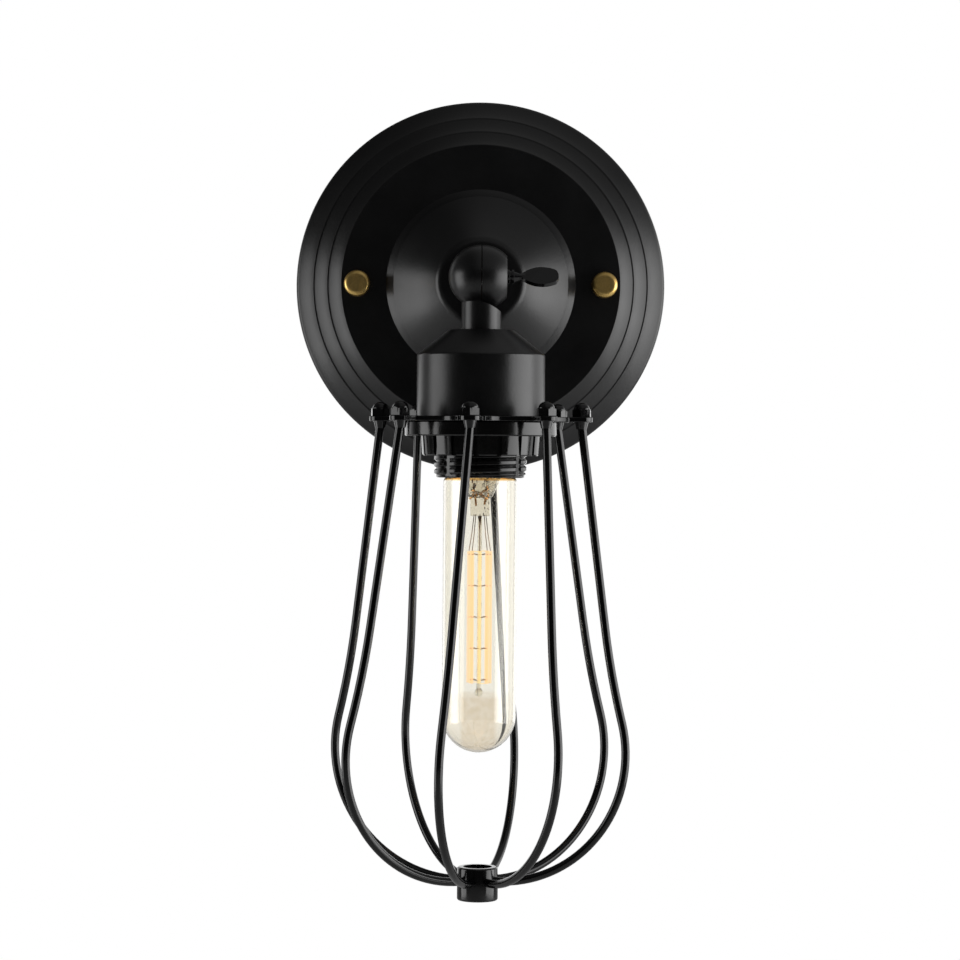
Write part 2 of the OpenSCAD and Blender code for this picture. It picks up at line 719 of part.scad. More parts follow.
module lampholder_body() {
    bore_r = shell_out_r + fit;
    edge = 0.5;
    color(bakelite) on_lamp() rotate_extrude() polygon([
        [mouth_r, mouth_z], [holder_r - edge, mouth_z], [holder_r, mouth_z + edge], [holder_r, join_gap_z],
        [bore_r + seat_w, join_gap_z], [bore_r + seat_w, seat_z], [bore_r, seat_z], [bore_r, cap_z + 1],
        [mouth_r, cap_z + 1]]);
}

// Ceramic block in the lampholder, with a tower for each wire's screw
tower_x = 7;

module contact_block() {
    color([0.9, 0.88, 0.83]) on_lamp() difference() {
        union() {
            translate([0, 0, seat_z]) cylinder(h = block_disc_t, r = shell_out_r + fit + seat_w - slide_gap);
            for (s = [-1, 1]) translate([s * tower_x - 3.5, -3.5, seat_z + block_disc_t])
                cube([7, 7, block_tower_t]);
        }
        for (s = [-1, 1]) translate([s * tower_x, 0, seat_z + block_disc_t])
            cylinder(h = block_tower_t + 1, r = 1.5 + fit);
    }
}

module contact_screws() {
    top_z = seat_z + block_disc_t + block_tower_t;
    color(steel) on_lamp() for (s = [-1, 1]) translate([s * tower_x, 0, top_z]) difference() {
        union() {
            translate([0, 0, -block_tower_t + 0.2]) cylinder(h = block_tower_t, r = 1.5);
            cylinder(h = 1.6, r = 2.8);
        }
        translate([-4, -0.4, 0.8]) cube([8, 0.8, 2]);
    }
}

// Sprung brass tongue: its root lies under the block, and its tip presses on the bulb
module centre_contact() {
    tongue_w = 5;
    tongue_t = 0.4;
    root_x = 6;
    drop = seat_z - contact_z - face_gap;
    color(brass) on_lamp() translate([0, tongue_w / 2, seat_z]) rotate([90, 0, 0]) linear_extrude(tongue_w)
        polygon([[root_x - 4, 0], [root_x, 0], [root_x + tongue_t, -tongue_t], [root_x - tongue_t, -2 * tongue_t],
                 [-2, -drop], [-2, tongue_t - drop], [root_x - 2, -tongue_t], [root_x - 4, -tongue_t]]);
}

module screw_shell() {
    lip_w = 1.1;
    foot_z = cap_z + 1.5;
    color(brass) on_lamp() {
        translate([0, 0, foot_z]) tube(seat_z - foot_z, shell_out_r, shell_r);
        translate([0, 0, seat_z - shell_t]) tube(shell_t, shell_r + shell_t / 2, shell_r - lip_w);
    }
}

// ---- Shade ring and cage ---------------------------------------------------------------

module shade_ring() {
    thread_r_in = holder_r + 0.1;
    edge = 0.5;
    color(black_gloss) on_lamp() difference() {
        rotate_extrude() polygon([
            [thread_r_in, ring_low_z], [flange_d / 2 - edge, ring_low_z], [flange_d / 2, ring_low_z - edge],
            [flange_d / 2, flange_low_z + edge], [flange_d / 2 - edge, flange_low_z],
            [collar_d / 2, flange_low_z], [collar_d / 2 - 0.6, collar_low_z + edge],
            [collar_d / 2 - 0.6 - edge, collar_low_z], [thread_r_in, collar_low_z]]);
        for (i = [0:collar_grooves - 1]) rotate([0, 0, (i - 0.2) * 360 / collar_grooves])
            translate([-collar_groove_w / 2, -collar_d / 2 - 1, collar_low_z - 1])
                cube([collar_groove_w, collar_groove_h + 1, collar_h + 1]);
    }
}

module at_lugs() { for (i = [0:rib_n - 1]) rotate([0, 0, cage_turn + i * lug_ang - 90]) children(); }

module cage_ring() {
    hollow_r_c = lug_r + scallop_out;
    // The hollow just cuts into the round ends of the lugs on both sides
    hollow_r = norm([hollow_r_c * cos(lug_ang / 2) - lug_r, hollow_r_c * sin(lug_ang / 2)]) - lug_round + 0.15;
    color(black_gloss) on_lamp() translate([0, 0, ring_low_z]) linear_extrude(ring_t) difference() {
        union() {
            circle(r = lug_r - lug_round);
            at_lugs() {
                translate([lug_r, 0]) circle(r = lug_round);
                translate([0, -lug_round]) square([lug_r, 2 * lug_round]);
            }
        }
        at_lugs() {
            rotate(lug_ang / 2) translate([hollow_r_c, 0]) circle(r = hollow_r);
            translate([lug_r, 0]) circle(r = thread_r + slide_gap);
        }
        circle(r = holder_r + 0.5);
    }
}

// Arc of wire in the X-Z plane about c, from angle a0 to a1
module wire_arc(c, r, a0, a1) {
    translate([c[0], 0, c[1]]) rotate([90, 0, 0]) rotate([0, 0, a0])
        rotate_extrude(angle = a1 - a0) translate([r, 0]) circle(r = wire_r, $fn = 32);
}

// Straight wire in the X-Z plane from a to b
module wire_bar(a, b) {
    d = b - a;
    translate([a[0], 0, a[1]]) rotate([0, atan2(d[0], d[1]), 0])
        cylinder(h = norm(d), r = wire_r, $fn = 32);
}

// Ball in a bend, a hair thicker than the wire, that makes its lengths one solid
module wire_knot(p) { translate([p[0], 0, p[1]]) sphere(r = wire_r + 0.01, $fn = 32); }

// One rib: flat bent wire that leans sideways as it rises from the hub to its lug
module rib(i) {
    turn = cage_turn + (i - 1) * lug_ang - 90;
    color(black_gloss) on_lamp() {
        difference() {
            translate([0, 0, join_z]) rotate([0, 0, turn - leg_turn]) rotate([-rib_lean, 0, 0]) {
                wire_bar(leg_end, [leg_u, leg_s]);
                wire_arc(flare_c, flare_bend_r, 180 + leg_deg, 180 + flare_deg);
                wire_arc([bend_u, bulge_bend_r], bulge_bend_r, -90 - tip_deg, flare_deg);
                wire_knot(leg_end);
                wire_knot([bend_u, bulge_bend_r] + bulge_bend_r * [cos(flare_deg), sin(flare_deg)]);
            }
            // The end is coped to the hub's wall, where it is welded
            translate([0, 0, join_z - hub_h]) cylinder(h = 2 * hub_h, d = hub_d);
        }
        rotate([0, 0, turn]) translate([lug_r, 0, 0]) {
            translate([0, 0, ring_low_z - shoulder_l])
                cylinder(h = shoulder_l, r1 = wire_r + 0.35, r2 = shoulder_r, $fn = 48);
            translate([0, 0, ring_low_z])
                cylinder(h = ring_t + acorn_hex_h + 0.9, r = thread_r, $fn = 32);
        }
    }
}

module cage_hub() {
    edge = 0.8;
    top_z = join_z + hub_rise;
    r_in = hub_bore / 2;
    r_out = hub_d / 2;
    color(black_gloss) on_lamp() translate([0, 0, top_z - hub_h]) rotate_extrude() polygon(concat(
        [[r_in, 0]], corner([r_out - edge, edge], edge, -90, 0, 4),
        corner([r_out - edge, hub_h - edge], edge, 0, 90, 4), [[r_in, hub_h]]));
}

module acorn_nuts() {
    foot_r = acorn_af / 2 - 0.3;
    dome_r = (pow(foot_r, 2) + pow(acorn_dome_h, 2)) / (2 * acorn_dome_h);
    color(black_gloss) on_lamp() at_lugs() translate([lug_r, 0, ring_top_z]) difference() {
        union() {
            cylinder(h = acorn_hex_h, d = acorn_af / cos(30), $fn = 6);
            intersection() {
                translate([0, 0, acorn_hex_h + acorn_dome_h - dome_r]) sphere(r = dome_r);
                translate([-dome_r, -dome_r, acorn_hex_h - eps]) cube([2 * dome_r, 2 * dome_r, dome_r + 1]);
            }
        }
        translate([0, 0, -1]) cylinder(h = acorn_hex_h + 1.2 + 1, r = thread_r + fit);
    }
}

// ---- Bulb ----------------------------------------------------------------------------------

module bulb_cap() {
    color(brass) on_lamp() rotate_extrude() polygon([
        [cap_r - cap_t, cap_z], [cap_r, cap_z], [cap_r, cap_z + cap_l - 3], [cap_r - 3, cap_z + cap_l],
        [8, cap_z + cap_l], [8, cap_z + cap_l - cap_t], [cap_r - 3 - cap_t / 2, cap_z + cap_l - cap_t],
        [cap_r - cap_t, cap_z + cap_l - 3 - cap_t / 2]]);
}

module bulb_insulator() {
    color([0.08, 0.07, 0.09]) on_lamp() rotate_extrude() polygon([
        [3, cap_z + cap_l - 1.5], [8 - fit, cap_z + cap_l - 1.5], [8 - fit, cap_z + cap_l],
        [5, contact_z - 0.8], [3, contact_z - 0.8]]);
}

module bulb_contact() {
    color([0.75, 0.75, 0.72]) on_lamp() {
        translate([0, 0, cap_z + cap_l - 1.5]) cylinder(h = contact_z - 0.4 - cap_z - cap_l + 1.5,
                                                        r = 3 - fit);
        translate([0, 0, contact_z - 0.8]) cylinder(h = 0.8, r1 = cap_r / 3, r2 = cap_r / 4);
    }
}

// Glass tube with a round end, and a neck that goes up into the cap
module bulb_glass() {
    end_r = bulb_r;
    shoulder_z = cap_z - glass_shoulder;
    neck_top_z = cap_z + cap_l / 6;
    color(glass) on_lamp() difference() {
        union() {
            translate([0, 0, tip_z + end_r]) sphere(r = end_r);
            translate([0, 0, tip_z + end_r]) cylinder(h = shoulder_z - tip_z - end_r, r = bulb_r);
            translate([0, 0, shoulder_z]) cylinder(h = glass_shoulder, r1 = bulb_r, r2 = neck_glass_r);
            translate([0, 0, cap_z]) cylinder(h = neck_top_z - cap_z, r = neck_glass_r - 0.1);
        }
        translate([0, 0, tip_z + end_r]) sphere(r = end_r - glass_t);
        translate([0, 0, tip_z + end_r])
            cylinder(h = shoulder_z - tip_z - end_r, r = bulb_r - glass_t);
        translate([0, 0, shoulder_z - eps])
            cylinder(h = glass_shoulder + 2 * eps, r1 = bulb_r - glass_t, r2 = neck_glass_r - glass_t);
        translate([0, 0, cap_z - eps]) cylinder(h = neck_top_z - cap_z + 1, r = neck_glass_r - glass_t - 0.1);
    }
}

// Flared glass foot, its flat press, and the rod that carries the filament hooks
module bulb_stem() {
    foot_z = cap_z + 3;
    foot_r = neck_glass_r - glass_t - 0.2;
    color(glass) on_lamp() {
        difference() {
            translate([0, 0, press_z]) cylinder(h = foot_z - press_z, r1 = stem_r, r2 = foot_r);
            translate([0, 0, press_z + 2])
                cylinder(h = foot_z - press_z - 2 + eps, r1 = stem_r - 1, r2 = foot_r - 0.9);
        }
        translate([-stem_r * 0.8, -1.4, press_end_z]) cube([stem_r * 1.6, 2.8, press_z - press_end_z + 1]);
        translate([0, 0, filament_low_z - 4]) cylinder(h = press_end_z - filament_low_z + 5, r = rod_r);
        translate([0, 0, filament_low_z - 4]) sphere(r = rod_r * 1.9);
    }
}

function strand_at(i) = strand_circle_r * [cos(i * 360 / strands), sin(i * 360 / strands)];

module wire_between(a, b, r) {
    d = b - a;
    translate(a) rotate([0, acos(d[2] / norm(d)), atan2(d[1], d[0])]) cylinder(h = norm(d), r = r, $fn = 16);
}

// Zigzag of upright strands, joined by turn at the top and at the bottom
module filament() {
    r = strand_d / 2;
    color([1, 0.72, 0.3]) on_lamp() for (i = [0:strands - 1]) {
        p = strand_at(i);
        q = strand_at(i + 1);
        z = i % 2 == 0 ? filament_low_z : filament_top_z;
        translate([p[0], p[1], filament_low_z]) cylinder(h = strand_l, r = r, $fn = 16);
        if (i < strands - 1) {
            wire_between([p[0], p[1], z], [q[0], q[1], z], r);
            for (e = [p, q]) translate([e[0], e[1], z]) sphere(r = r + 0.05, $fn = 16);
        }
    }
}

// Hooks on the glass rod that hold the filament, and the two wires that feed it
module filament_supports() {
    levels = [for (i = [0:3]) filament_low_z + 1.2 + i * (strand_l - 2.4) / 3];
    reach_r = strand_circle_r - strand_d / 2 - 0.1;
    color(steel) on_lamp() {
        for (z = levels) {
            translate([0, 0, z]) tube(1.2, rod_r + 0.5, rod_r + fit);
            for (i = [0:strands - 1]) rotate([0, 0, i * 360 / strands]) translate([rod_r + 0.3, 0, z + 0.6])
                rotate([0, 90, 0]) cylinder(h = reach_r - rod_r - 0.3, r = support_r, $fn = 16);
        }
        for (i = [0, strands - 1]) let (p = strand_at(i))
            wire_between([p[0] * 1.12, p[1] * 1.12, filament_top_z + 0.8],
                         [sign(0.5 - i) * stem_r * 0.5, 0, press_end_z - 0.2], support_r);
    }
}

// ---- Assembly --------------------------------------------------------------------------------

wall_bracket();
bracket_studs();
earth_screw();
terminal_block();
terminal_tubes();
terminal_screws();
block_screws();
wall_plate();
cap_nuts();
wall_nipple();
arm_washer();
arm_locknut();
arm_knuckle();
lamp_knuckle();
friction_washer();
clamp_washers();
thumb_screw();
lamp_nipple();
cover_locknut();
socket_cover();
lampholder_cap();
lampholder_body();
contact_block();
contact_screws();
centre_contact();
screw_shell();
shade_ring();
cage_ring();
cage_hub();
acorn_nuts();
bulb_cap();
bulb_insulator();
bulb_contact();
bulb_glass();
bulb_stem();
filament_supports();
filament();
for (i = [1:rib_n]) rib(i);
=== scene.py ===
import json
import math
import bmesh
import bpy
from mathutils import Matrix, Vector

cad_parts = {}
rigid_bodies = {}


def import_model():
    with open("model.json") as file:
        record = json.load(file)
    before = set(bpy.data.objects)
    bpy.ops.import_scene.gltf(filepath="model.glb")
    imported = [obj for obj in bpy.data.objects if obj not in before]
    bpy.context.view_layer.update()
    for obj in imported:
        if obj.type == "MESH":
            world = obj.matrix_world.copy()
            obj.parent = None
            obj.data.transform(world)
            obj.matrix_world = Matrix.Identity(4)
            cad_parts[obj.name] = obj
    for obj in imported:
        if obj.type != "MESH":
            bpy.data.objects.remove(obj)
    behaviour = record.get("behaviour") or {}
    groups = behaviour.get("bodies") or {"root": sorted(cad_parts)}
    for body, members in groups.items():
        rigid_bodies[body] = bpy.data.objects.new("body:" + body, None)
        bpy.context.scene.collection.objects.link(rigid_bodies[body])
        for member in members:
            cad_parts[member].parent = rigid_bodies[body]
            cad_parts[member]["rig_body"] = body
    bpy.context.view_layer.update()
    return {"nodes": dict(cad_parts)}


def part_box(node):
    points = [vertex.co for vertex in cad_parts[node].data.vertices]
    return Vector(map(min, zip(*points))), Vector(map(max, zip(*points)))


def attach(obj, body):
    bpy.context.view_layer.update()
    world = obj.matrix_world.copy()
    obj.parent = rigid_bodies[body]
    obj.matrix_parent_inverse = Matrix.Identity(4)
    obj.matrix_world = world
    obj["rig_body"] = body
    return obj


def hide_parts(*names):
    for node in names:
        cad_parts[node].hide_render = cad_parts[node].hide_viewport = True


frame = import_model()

MM = 0.001
node_of = frame["nodes"]


# ---- Wall bracket -----------------------------------------------------------------------
# A strip of zinc-plated steel, pressed with two raised ends. It is screwed to the wall
# through its slots and carries everything else.

def new_finish(name, colour, metallic, roughness, **sockets):
    """A material whose constants are set on the shader's own sockets."""
    material = bpy.data.materials.new(name)
    material.use_nodes = True
    shader = material.node_tree.nodes["Principled BSDF"]
    shader.inputs["Base Color"].default_value = (*colour, 1)
    shader.inputs["Metallic"].default_value = metallic
    shader.inputs["Roughness"].default_value = roughness
    for socket, value in sockets.items():
        shader.inputs[socket.replace("_", " ")].default_value = value
    return material, shader


def start_group(name, inputs, outputs):
    """An empty node group with named inputs and outputs."""
    group = bpy.data.node_groups.new(name, "ShaderNodeTree")
    for socket, kind, value in inputs:
        made = group.interface.new_socket(socket, in_out="INPUT", socket_type=kind)
        made.default_value = value
    for socket, kind in outputs:
        group.interface.new_socket(socket, in_out="OUTPUT", socket_type=kind)
    return group, group.nodes.new("NodeGroupInput"), group.nodes.new("NodeGroupOutput")


def put(tree, kind, values=(), **settings):
    """Adds a node, sets its properties, and fills its inputs by name or number."""
    made = tree.nodes.new(kind)
    for key, value in settings.items():
        setattr(made, key, value)
    for key, value in dict(values).items():
        if isinstance(value, bpy.types.NodeSocket):
            tree.links.new(value, made.inputs[key])
        else:
            made.inputs[key].default_value = value
    return made


# Uneven surface: a slow drift in tone and polish, and a fine grain that catches light
surface_drift, drift_in, drift_out = start_group(
    "surface_drift",
    [("Tone", "NodeSocketColor", (0.5, 0.5, 0.5, 1)), ("Worn Tone", "NodeSocketColor", (0.6, 0.6, 0.6, 1)),
     ("Low Roughness", "NodeSocketFloat", 0.2), ("High Roughness", "NodeSocketFloat", 0.4),
     ("Patch Size", "NodeSocketFloat", 60.0), ("Grain Size", "NodeSocketFloat", 1500.0)],
    [("Colour", "NodeSocketColor"), ("Roughness", "NodeSocketFloat"), ("Height", "NodeSocketFloat")])
place = put(surface_drift, "ShaderNodeTexCoord")
patches = put(surface_drift, "ShaderNodeTexNoise",
              {"Vector": place.outputs["Object"], "Scale": drift_in.outputs["Patch Size"],
               "Detail": 4.0, "Roughness": 0.6})
grain = put(surface_drift, "ShaderNodeTexNoise",
            {"Vector": place.outputs["Object"], "Scale": drift_in.outputs["Grain Size"],
             "Detail": 3.0, "Roughness": 0.55})
spread = put(surface_drift, "ShaderNodeMapRange",
             {"Value": patches.outputs["Fac"], "From Min": 0.3, "From Max": 0.7})
tone = put(surface_drift, "ShaderNodeMix",
           {0: spread.outputs["Result"], 6: drift_in.outputs["Tone"], 7: drift_in.outputs["Worn Tone"]},
           data_type="RGBA")
polish = put(surface_drift, "ShaderNodeMapRange",
             {"Value": patches.outputs["Fac"], "From Min": 0.3, "From Max": 0.7,
              "To Min": drift_in.outputs["Low Roughness"], "To Max": drift_in.outputs["High Roughness"]})
surface_drift.links.new(tone.outputs[2], drift_out.inputs["Colour"])
surface_drift.links.new(polish.outputs["Result"], drift_out.inputs["Roughness"])
surface_drift.links.new(grain.outputs["Fac"], drift_out.inputs["Height"])


def drifting(material, shader, tone, worn, low, high, patch, grain_size, bump):
    """Feeds a material from the surface_drift group; bump is the grain's height in metres."""
    tree = material.node_tree
    drift = put(tree, "ShaderNodeGroup", node_tree=surface_drift)
    for socket, value in (("Tone", (*tone, 1)), ("Worn Tone", (*worn, 1)), ("Low Roughness", low),
                          ("High Roughness", high), ("Patch Size", patch), ("Grain Size", grain_size)):
        drift.inputs[socket].default_value = value
    tree.links.new(drift.outputs["Colour"], shader.inputs["Base Color"])
    tree.links.new(drift.outputs["Roughness"], shader.inputs["Roughness"])
    raised = put(tree, "ShaderNodeBump",
                 {"Height": drift.outputs["Height"], "Distance": bump, "Strength": 1.0})
    tree.links.new(raised.outputs["Normal"], shader.inputs["Normal"])


zinc, zinc_shader = new_finish("zinc_plate", (0.6, 0.61, 0.63), 1.0, 0.35)
drifting(zinc, zinc_shader, (0.5, 0.51, 0.54), (0.66, 0.66, 0.64), 0.26, 0.46, 140, 2600, 0.000012)


def smooth_between(work, angle):
    """Smooth shading, broken only at edges that turn by more than angle degrees."""
    for face in work.faces:
        face.smooth = True
    for edge in work.edges:
        edge.smooth = not edge.calc_face_angle(0) > math.radians(angle)


weld_gap, flat_angle = 0.000002, math.radians(0.6)


def finished_edges(name, node, material, width, angle=40, dissolve=True):
    """The CAD piece again with its edges rounded over by width mm, as a maker leaves them."""
    mesh = node_of[node].data.copy()
    work = bmesh.new()
    work.from_mesh(mesh)
    bmesh.ops.remove_doubles(work, verts=work.verts, dist=weld_gap)
    if dissolve:
        bmesh.ops.dissolve_limit(work, angle_limit=flat_angle, verts=work.verts, edges=work.edges)
    smooth_between(work, angle)
    work.to_mesh(mesh)
    work.free()
    piece = bpy.data.objects.new(name, mesh)
    bpy.context.scene.collection.objects.link(piece)
    if width:
        edges = piece.modifiers.new("rounded_edges", "BEVEL")
        edges.width = width * MM
        edges.segments = 3
        edges.limit_method = "ANGLE"
        edges.angle_limit = math.radians(angle)
        edges.use_clamp_overlap = True
        edges.harden_normals = True
    mesh.materials.clear()
    mesh.materials.append(material)
    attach(piece, node_of[node]["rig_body"])
    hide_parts(node)
    return piece


def dress(names, material):
    """Gives CAD nodes their material. Their meshes stay as they are."""
    for name in names:
        mesh = node_of[name].data
        mesh.materials.clear()
        mesh.materials.append(material)


finished_edges("bracket_strip", "wall_bracket", zinc, 0.25)
dress(["bracket_studs", "terminal_screws", "block_screws"], zinc)


# ---- Connections ------------------------------------------------------------------------
# A white plastic connector block with three brass terminals, and a brass earth screw in
# the strip. The supply cable would end here, behind the plate. It isn't made.

white_moulding, white_shader = new_finish("white_moulding", (0.84, 0.83, 0.79), 0.0, 0.45)
drifting(white_moulding, white_shader, (0.84, 0.83, 0.79), (0.8, 0.79, 0.74), 0.38, 0.52, 90, 3000, 0.00001)
finished_edges("connector_block", "terminal_block", white_moulding, 0.2)

brass, brass_shader = new_finish("turned_brass", (0.75, 0.5, 0.2), 1.0, 0.22)
drifting(brass, brass_shader, (0.74, 0.5, 0.2), (0.5, 0.31, 0.11), 0.16, 0.34, 420, 5200, 0.000008)
dress(["earth_screw", "terminal_tubes"], brass)


# ---- Wall plate -------------------------------------------------------------------------
# One round of sheet steel, pressed into three hollow steps and a bell with a rounded boss,
# then powder coated satin black. Narrow ledges part the steps. The two brass nuts hold it
# to the bracket's studs.

satin_black, satin_shader = new_finish("satin_black_coat", (0.0016, 0.0016, 0.0018), 0.0, 0.3)
drifting(satin_black, satin_shader, (0.0014, 0.0014, 0.0016), (0.0022, 0.0022, 0.0024), 0.28, 0.36,
         45, 900, 0.00003)


def bent(points, radii):
    """The profile with each corner turned into an arc, as sheet bends. Lengths in mm."""
    pieces = 6
    out = [Vector(points[0])]
    for before, here, after, r in zip(points, points[1:], points[2:], radii):
        here = Vector(here)
        a, b = (Vector(before) - here), (Vector(after) - here)
        half = a.angle(b) / 2
        if r <= 0 or half > math.radians(89.5):
            out.append(here)
            continue
        reach = min(r / math.tan(half), a.length * 0.49, b.length * 0.49)
        r_used = reach * math.tan(half)
        centre = here + (a.normalized() + b.normalized()).normalized() * (r_used / math.sin(half))
        start, end = here + a.normalized() * reach - centre, here + b.normalized() * reach - centre
        turn = start.angle(end) * (1 if start.x * end.y - start.y * end.x > 0 else -1)
        for i in range(pieces + 1):
            c, s = math.cos(turn * i / pieces), math.sin(turn * i / pieces)
            out.append(centre + Vector((start.x * c - start.y * s, start.x * s + start.y * c)))
    out.append(Vector(points[-1]))
    return out


def wrapped(work, rings):
    """Faces between rings of points that close both ways."""
    for ring, after in zip(rings, rings[1:] + rings[:1]):
        for j in range(len(ring)):
            k = (j + 1) % len(ring)
            work.faces.new((ring[j], after[j], after[k], ring[k]))


def as_piece(name, work):
    """The finished mesh as an object in the scene."""
    mesh = bpy.data.meshes.new(name)
    work.to_mesh(mesh)
    work.free()
    piece = bpy.data.objects.new(name, mesh)
    bpy.context.scene.collection.objects.link(piece)
    return piece


def turned(name, profile, place, segments, angle):
    """A piece turned or pressed round an axis, from a closed profile of (radius, height) in mm."""
    work = bmesh.new()
    rings = []
    for i in range(segments):
        a = 2 * math.pi * i / segments
        rings.append([work.verts.new((p[0] * math.cos(a) * MM, p[0] * math.sin(a) * MM, p[1] * MM))
                      for p in profile])
    wrapped(work, rings)
    bmesh.ops.remove_doubles(work, verts=work.verts, dist=0.0000005)
    bmesh.ops.recalc_face_normals(work, faces=work.faces)
    smooth_between(work, angle)
    work.transform(place)
    return as_piece(name, work)


def hollow(r, h, w, low, high, pieces=16):
    """Points up a hollow curve in sheet, whose slope grows from low to high degrees. Lengths in mm."""
    low, high = math.radians(low), math.radians(high)
    curve_r = w / (math.sin(high) - math.sin(low))
    slopes = [low + (high - low) * i / pieces for i in range(pieces + 1)]
    return [(r - curve_r * (math.sin(a) - math.sin(low)), h + curve_r * (math.cos(low) - math.cos(a)))
            for a in slopes]


def rounded(centre, r, degrees):
    """Points at each of the angles round a centre in the profile."""
    return [(centre[0] + r * math.cos(math.radians(a)), centre[1] + r * math.sin(math.radians(a)))
            for a in degrees]


off_wall = Matrix.Rotation(math.pi / 2, 4, "X")
plate_r, plate_t, skirt_h, rim_r, step_w, ledge_w = 80, 1.2, 4.0, 2.5, 6.25, 0.65
ledge_rise, ledge_fold, step_fold = 0.1, 0.3, 0.45
bell_foot_r, bell_foot_w, bell_side_w, bell_foot_fold, bell_side_fold = 40.6, 3.2, 18.4, 0.3, 0.5
boss_round, nipple_hole_r = 4.0, 5.2
# slopes in degrees, at the foot and the top of each curve, at the rim's end and at the boss's start.
# The steps' slopes and ledges carry the flat face 1.24 mm past the seat of the brass nuts.
step_slopes, bell_foot_slopes, bell_side_slopes = (31, 51), (38, 48), (36, 53)
rim_end, boss_start = math.radians(27), math.radians(47)
foot_pieces, side_pieces = 10, 40
front = [(plate_r, 0)] + rounded((plate_r - rim_r, skirt_h - rim_r), rim_r, range(0, 61, 6))
folds = []
at = (plate_r - rim_r * (1 - math.sin(rim_end)), skirt_h - rim_r * (1 - math.cos(rim_end)))
for i in range(3):
    rise_w = step_w
    if i > 0:
        at = (at[0] - ledge_w, at[1] + ledge_rise)
        rise_w = step_w - ledge_w
        front.append(at)
        folds.append((len(front) - 1, ledge_fold))
    rise = hollow(*at, rise_w, *step_slopes)
    front += rise[1:] if i > 0 else rise
    at = front[-1]
    folds.append((len(front) - 1, step_fold))
front += hollow(bell_foot_r, at[1], bell_foot_w, *bell_foot_slopes, foot_pieces)
folds += [(len(front) - 1 - foot_pieces, bell_foot_fold), (len(front) - 1, bell_side_fold)]
side = hollow(*front[-1], bell_side_w, *bell_side_slopes, side_pieces)
front += side[1:]
boss_c = (side[-1][0] - boss_round * math.sin(boss_start), side[-1][1] - boss_round * math.cos(boss_start))
front += rounded(boss_c, boss_round, range(49, 91, 3))
front.append((nipple_hole_r, front[-1][1]))
radii = [0] * len(front)
for place, size in folds:
    radii[place] = size
front = bent(front, radii[1:])
back = [Vector((min(p[0], plate_r - plate_t), max(p[1] - plate_t, 0))) for p in front]
plate = turned("pressed_plate", front + back[::-1], off_wall, 224, 30)
plate.data.materials.append(satin_black)
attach(plate, "wall_side")
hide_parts("wall_plate")

cap_brass, cap_shader = new_finish("lacquered_brass", (0.85, 0.58, 0.2), 1.0, 0.35)
drifting(cap_brass, cap_shader, (0.88, 0.62, 0.22), (0.6, 0.39, 0.12), 0.27, 0.45, 420, 5200, 0.00001)
dress(["cap_nuts"], cap_brass)


# ---- Arm --------------------------------------------------------------------------------
# A threaded steel nipple with a washer and a locknut inside the bell holds the arm, which
# is one half of the knuckle: a die-cast half ball on a neck, coated with the plate.

dress(["wall_nipple", "arm_washer"], zinc)
finished_edges("arm_nut", "arm_locknut", zinc, 0.3)
finished_edges("arm_casting", "arm_knuckle", satin_black, 0.35)


# ---- Knuckle ----------------------------------------------------------------------------
# The lamp's half of the ball, a fibre washer between the two flats, and the clamp screw
# with its washers and its oval grip, lacquered gloss black.

finished_edges("lamp_casting", "lamp_knuckle", satin_black, 0.5)
fibre, fibre_shader = new_finish("pressed_fibre", (0.05, 0.024, 0.014), 0.0, 0.7)
drifting(fibre, fibre_shader, (0.05, 0.024, 0.014), (0.03, 0.015, 0.01), 0.6, 0.8, 300, 2500, 0.00003)
dress(["friction_washer"], fibre)

gloss_black, gloss_shader = new_finish("gloss_black_lacquer", (0.001, 0.001, 0.0012), 0.0, 0.14)
drifting(gloss_black, gloss_shader, (0.0009, 0.0009, 0.0011), (0.0015, 0.0015, 0.0017), 0.1, 0.16,
         70, 700, 0.00001)
finished_edges("clamp_stack", "clamp_washers", gloss_black, 0.12)
finished_edges("grip_screw", "thumb_screw", gloss_black, 0.7)


# ---- Socket cover -----------------------------------------------------------------------
# Spun steel cup in the plate's satin black. A nipple from the knuckle comes through its top
# and a locknut pulls it up against the neck.

dress(["lamp_nipple"], zinc)
finished_edges("cover_nut", "cover_locknut", zinc, 0.3)
reach = 73  # mm from the wall to the lamp's axis
on_lamp = Matrix.Translation((0, -reach * MM, 0))
cover_r, cover_t, cover_top, ring_top = 26.3, 1.2, -22.0, -57.5
shoulder_low, neck_land_r = cover_top - 10.2, 13.5
outside = bent([(cover_r, ring_top), (cover_r, shoulder_low), (neck_land_r, cover_top),
                (nipple_hole_r, cover_top)], [0.9, 0.5])
inside = []
for i, p in enumerate(outside):
    a, b = outside[max(i - 1, 0)], outside[min(i + 1, len(outside) - 1)]
    d = (b - a).normalized()
    inside.append(p + Vector((-d.y, d.x)) * cover_t)
inside[0].y = ring_top
inside[-1].x = nipple_hole_r
cover = turned("spun_cover", outside + inside[::-1], on_lamp, 192, 30)
cover.data.materials.append(satin_black)
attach(cover, "lamp_head")
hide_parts("socket_cover")


# ---- Lampholder -------------------------------------------------------------------------
# Two bakelite mouldings that screw together round a ceramic contact block. The body's
# outer thread has flat crests and V-shaped valleys, with gaps where the mould parts.

bakelite, bakelite_shader = new_finish("black_bakelite", (0.0016, 0.0015, 0.0014), 0.0, 0.15)
drifting(bakelite, bakelite_shader, (0.0012, 0.0012, 0.0012), (0.0024, 0.0022, 0.002), 0.1, 0.18,
         160, 1800, 0.000012)
dress(["lampholder_cap"], bakelite)

